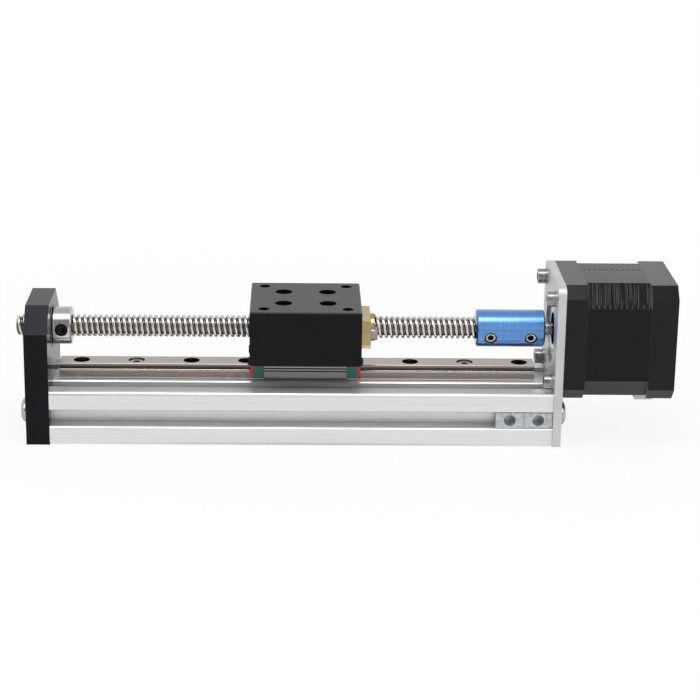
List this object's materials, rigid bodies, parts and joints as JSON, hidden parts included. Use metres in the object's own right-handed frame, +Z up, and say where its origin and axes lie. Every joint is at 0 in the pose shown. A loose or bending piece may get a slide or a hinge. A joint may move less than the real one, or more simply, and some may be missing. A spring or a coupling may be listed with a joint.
{
  "type": "motorised lead screw linear stage",
  "caption": "Linear stage on an aluminium profile: a stepper motor turns a lead screw that moves a carriage along a guide rail.",
  "frame": {"origin": "middle of the base profile's underside, where it stands", "axes": "+X along the screw towards the motor, +Y to the back, away from the slot with the nuts, +Z up"},
  "size_m": [0.2369, 0.0424, 0.0602],
  "materials": {
    "base_aluminium": "clear anodised, satin",
    "plate_aluminium": "clear anodised, satin",
    "black_anodised": "black anodised, satin",
    "rail_steel": "ground",
    "guide_steel": "ground",
    "lead_screw_steel": "rolled thread, polished",
    "collar_steel": "turned",
    "shaft_steel": "ground",
    "screw_steel": "stainless",
    "grub_steel": "zinc plated",
    "grub_black": "black oxide",
    "bearing_steel": "polished",
    "t_nut_steel": "zinc plated",
    "motor_black": "black paint, satin",
    "stator_black": "black paint, satin",
    "coil_copper": "enamelled copper wire",
    "rotor_steel": "stacked electrical steel",
    "magnet_grey": "sintered",
    "coupling_blue": "blue anodised, satin",
    "nut_brass": "turned",
    "cap_green": "moulded",
    "seal_red": "moulded",
    "connector_white": "moulded",
    "pin_tin": "tinned"
  },
  "bodies": {
    "base": {"base_extrusion": "base_aluminium", "end_plate": "black_anodised", "end_plate_screws": "screw_steel", "motor_plate": "plate_aluminium", "motor_plate_screws": "screw_steel", "guide_rail": "rail_steel", "rail_screws": "screw_steel", "end_bearing_outer": "bearing_steel", "motor_front_bell": "motor_black", "motor_stator": "stator_black", "motor_coils": "coil_copper", "motor_rear_bell": "motor_black", "motor_body_screws": "screw_steel", "motor_mount_screws": "screw_steel", "motor_mount_washers": "screw_steel", "motor_front_bearing_outer": "bearing_steel", "motor_rear_bearing_outer": "bearing_steel", "motor_wave_washer": "screw_steel", "motor_connector": "connector_white", "connector_pins": "pin_tin"},
    "screw": {"lead_screw": "lead_screw_steel", "lock_collar": "collar_steel", "collar_set_screw": "grub_black", "shaft_coupling": "coupling_blue", "coupling_set_screws": "grub_steel", "motor_shaft": "shaft_steel", "rotor_front_cup": "rotor_steel", "rotor_rear_cup": "rotor_steel", "rotor_magnet": "magnet_grey", "end_bearing_inner": "bearing_steel", "motor_front_bearing_inner": "bearing_steel", "motor_rear_bearing_inner": "bearing_steel"},
    "carriage": {"carriage_block": "black_anodised", "block_screws": "screw_steel", "lead_nut": "nut_brass", "nut_screws": "screw_steel", "guide_block": "guide_steel", "end_cap_left": "cap_green", "end_cap_right": "cap_green", "end_seal_left": "seal_red", "end_seal_right": "seal_red", "end_cap_screws": "screw_steel", "guide_balls": "bearing_steel"},
    "t_nut_right": {"t_nut_right": "t_nut_steel"},
    "t_nut_left": {"t_nut_left": "t_nut_steel"}
  },
  "joints": [
    {"name": "screw_spin", "type": "hinge", "parent": "base", "child": "screw", "pos_m": [0, 0, 0.039], "axis": [-1, 0, 0], "range_deg": [-5775, 3210]},
    {"name": "carriage_slide", "type": "slide", "parent": "base", "child": "carriage", "axis": [1, 0, 0], "range_m": [-0.0641, 0.0356]},
    {"name": "t_nut_right_slide", "type": "slide", "parent": "base", "child": "t_nut_right", "axis": [1, 0, 0], "range_m": [-0.08, 0]},
    {"name": "t_nut_left_slide", "type": "slide", "parent": "t_nut_right", "child": "t_nut_left", "axis": [1, 0, 0], "range_m": [-0.08, 0]}
  ],
  "couplings": [
    {"joint": "screw_spin", "follows": "carriage_slide", "rad_per_m": 1570.8}
  ]
}
